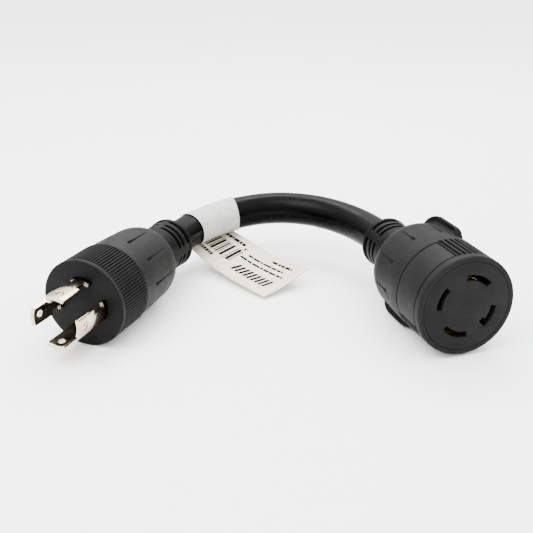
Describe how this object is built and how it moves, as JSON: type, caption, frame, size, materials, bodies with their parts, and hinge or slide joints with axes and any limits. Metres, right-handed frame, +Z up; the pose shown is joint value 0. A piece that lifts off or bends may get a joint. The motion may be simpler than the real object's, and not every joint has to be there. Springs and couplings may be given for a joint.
{
  "type": "power adapter dogbone",
  "caption": "Locking power plug joined to a locking connector by a short thick cable, with ribbed grips, strain reliefs and a wrap label.",
  "frame": {"origin": "centre of the footprint of the two heads, on the surface that the part rests on", "axes": "+X from the plug to the connector, +Y from the faces to the cable's bend, +Z up"},
  "size_m": [0.2191, 0.1542, 0.0512],
  "materials": {
    "plug_shell": "fine moulded satin",
    "connector_shell": "fine moulded satin",
    "face_black": "satin",
    "face_grey": "satin",
    "boot": "satin rubber",
    "jacket": "smooth semi-gloss",
    "blade": "nickel-plated, polished",
    "contact": "drawn",
    "carrier": "moulded phenolic",
    "filler": "fibre cord",
    "insulation_black": "extruded",
    "insulation_red": "extruded",
    "insulation_white": "extruded",
    "insulation_green": "extruded",
    "copper": "drawn copper strand",
    "label": "paper-faced film"
  },
  "bodies": {
    "root": {"plug_shell": "plug_shell", "plug_face": "face_black", "blade_hot_x": "blade", "blade_hot_y": "blade", "blade_neutral": "blade", "blade_ground": "blade", "plug_carrier": "carrier", "plug_strain_relief": "boot", "connector_shell": "connector_shell", "connector_face": "face_grey", "contact_housing": "face_grey", "contact_hot_x": "contact", "contact_hot_y": "contact", "contact_neutral": "contact", "contact_ground": "contact", "connector_back_cover": "carrier", "connector_strain_relief": "boot", "cable_jacket": "jacket", "cable_filler": "filler", "insulation_black": "insulation_black", "insulation_red": "insulation_red", "insulation_white": "insulation_white", "insulation_green": "insulation_green", "core_black": "copper", "core_red": "copper", "core_white": "copper", "core_green": "copper", "cable_label": "label"}
  },
  "joints": []
}
